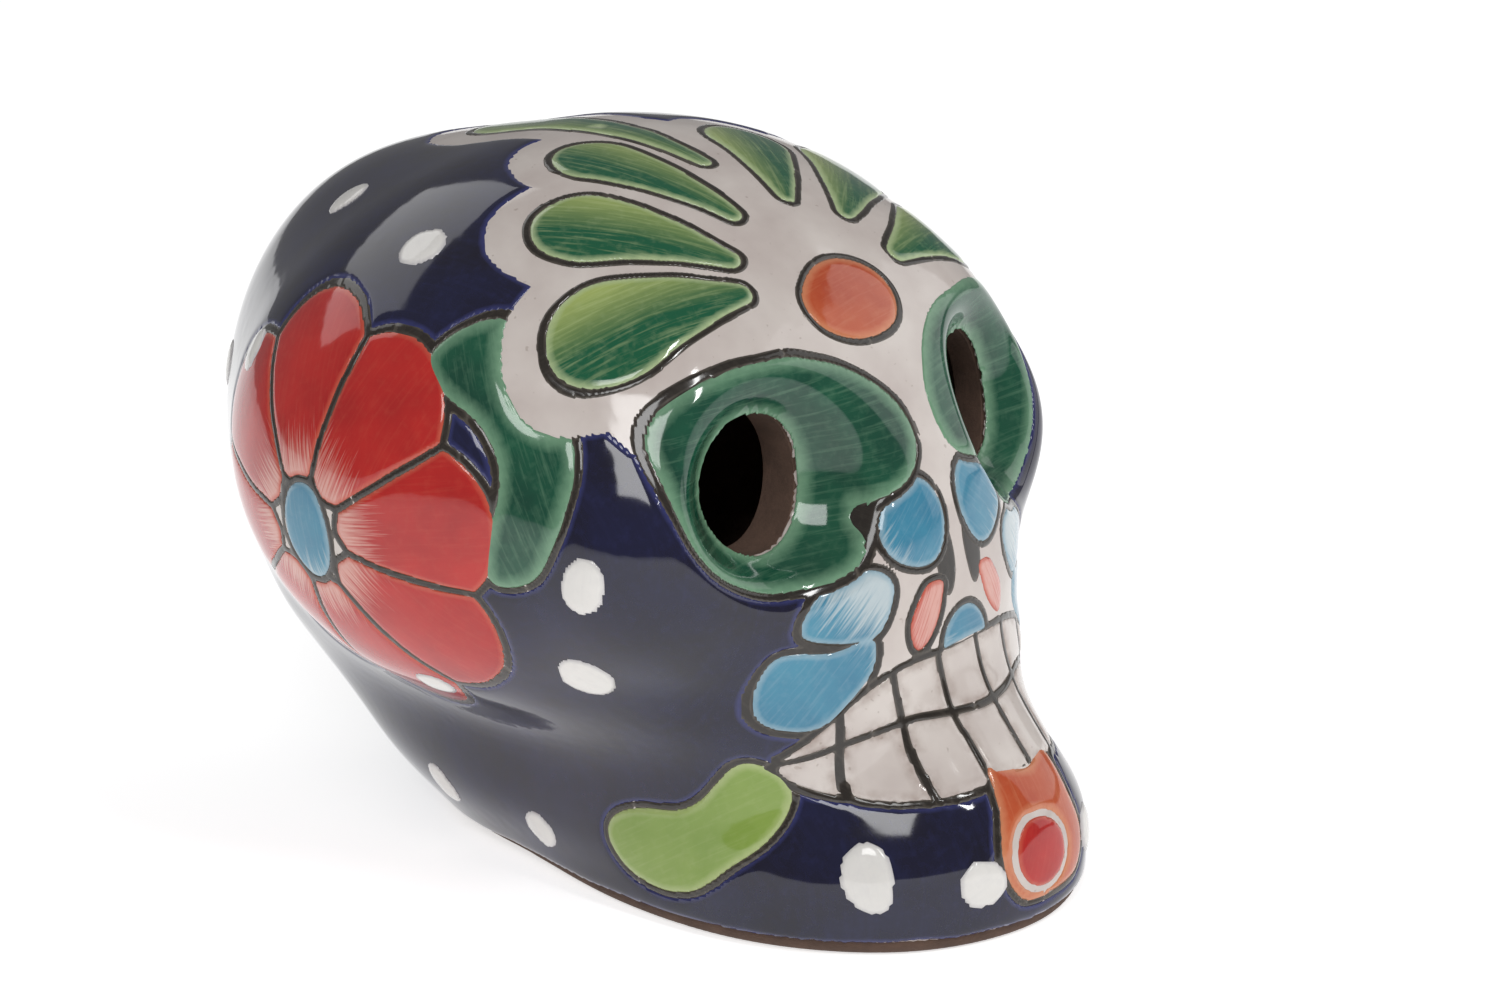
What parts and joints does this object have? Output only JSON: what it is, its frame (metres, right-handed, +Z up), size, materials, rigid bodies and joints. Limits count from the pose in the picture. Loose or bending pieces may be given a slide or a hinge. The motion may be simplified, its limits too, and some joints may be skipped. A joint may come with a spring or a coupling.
{
  "type": "ceramic skull figurine",
  "caption": "Hollow glazed ceramic skull with open eye sockets, a flat foot and hand-painted flowers, leaves, teeth and raised slip dots.",
  "frame": {"origin": "on the table, under the middle of the skull", "axes": "+Z up, the face looks along -Y, +X is the skull's own left"},
  "size_m": [0.1246, 0.1568, 0.1137],
  "materials": {
    "bisque": "unglazed buff-red earthenware, matt and fine-grained",
    "tin_glaze": "warm white tin glaze, glossy",
    "cobalt_glaze": "very dark cobalt glaze, glossy",
    "red_glaze": "brick red glaze, glossy, brushed",
    "blue_glaze": "turquoise blue glaze, glossy",
    "green_glaze": "dark copper green glaze, glossy",
    "leaf_glaze": "copper green shading to yellow-green, glossy",
    "lime_glaze": "lime green glaze, glossy",
    "orange_glaze": "orange-red glaze, glossy",
    "dark_line": "brushed manganese black line, glossy",
    "white_slip": "raised white slip, glossy"
  },
  "bodies": {
    "root": {"clay_shell": "bisque", "tin_glaze_coat": "tin_glaze", "cobalt_ground": "cobalt_glaze", "right_flower_petals": "red_glaze", "left_flower_petals": "red_glaze", "right_flower_middle": "blue_glaze", "left_flower_middle": "blue_glaze", "right_side_leaf": "green_glaze", "left_side_leaf": "green_glaze", "right_jaw_leaf": "lime_glaze", "left_jaw_leaf": "lime_glaze", "right_eye_ring": "green_glaze", "left_eye_ring": "green_glaze", "right_cheek_drops": "blue_glaze", "left_cheek_drops": "blue_glaze", "right_nose_lobe": "red_glaze", "left_nose_lobe": "red_glaze", "nose_disc": "blue_glaze", "upper_teeth": "tin_glaze", "lower_teeth": "tin_glaze", "chin_dot": "red_glaze", "chin_patch": "orange_glaze", "right_forehead_petals": "leaf_glaze", "left_forehead_petals": "leaf_glaze", "crown_forehead_petals": "leaf_glaze", "forehead_bead": "orange_glaze", "right_line_work": "dark_line", "left_line_work": "dark_line", "face_line_work": "dark_line", "forehead_line_work": "dark_line", "right_slip_dots": "white_slip", "left_slip_dots": "white_slip"}
  },
  "joints": []
}
